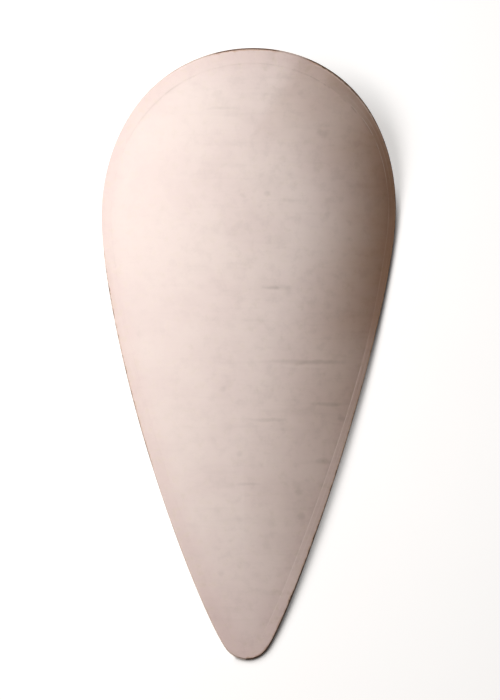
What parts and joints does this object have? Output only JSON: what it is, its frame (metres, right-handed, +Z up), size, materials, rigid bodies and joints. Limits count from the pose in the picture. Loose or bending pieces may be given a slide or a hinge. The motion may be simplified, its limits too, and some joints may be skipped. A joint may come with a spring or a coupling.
{
  "type": "kite shield",
  "caption": "Plain kite-shaped shield: bent wooden board with a pale hide facing, a raised rim band, and leather arm and hand straps on its hollow back, lying face up",
  "frame": {"origin": "on the floor under the middle of the whole shield's box, with the shield lying face up as it rests", "axes": "+Y runs from the tip to the rounded top, +Z is up and the front of the shield faces up, +X is to the right when the front is seen with its top up"},
  "size_m": [0.591, 1.1908, 0.1622],
  "materials": {
    "board_wood": "oiled, bare laminated wood",
    "pale_hide": "matt undyed hide with faint clouds, creases and marks",
    "band_hide": "matt undyed hide with a darkened outer edge",
    "strap_leather": "waxed brown leather",
    "rivet_brass": "dull brass"
  },
  "bodies": {
    "root": {"board": "board_wood", "facing": "pale_hide", "edge_band": "band_hide", "arm_strap": "strap_leather", "arm_strap_rivet_1": "rivet_brass", "arm_strap_rivet_2": "rivet_brass", "arm_strap_rivet_3": "rivet_brass", "arm_strap_rivet_4": "rivet_brass", "hand_strap": "strap_leather", "hand_strap_rivet_1": "rivet_brass", "hand_strap_rivet_2": "rivet_brass", "hand_strap_rivet_3": "rivet_brass", "hand_strap_rivet_4": "rivet_brass"}
  },
  "joints": []
}
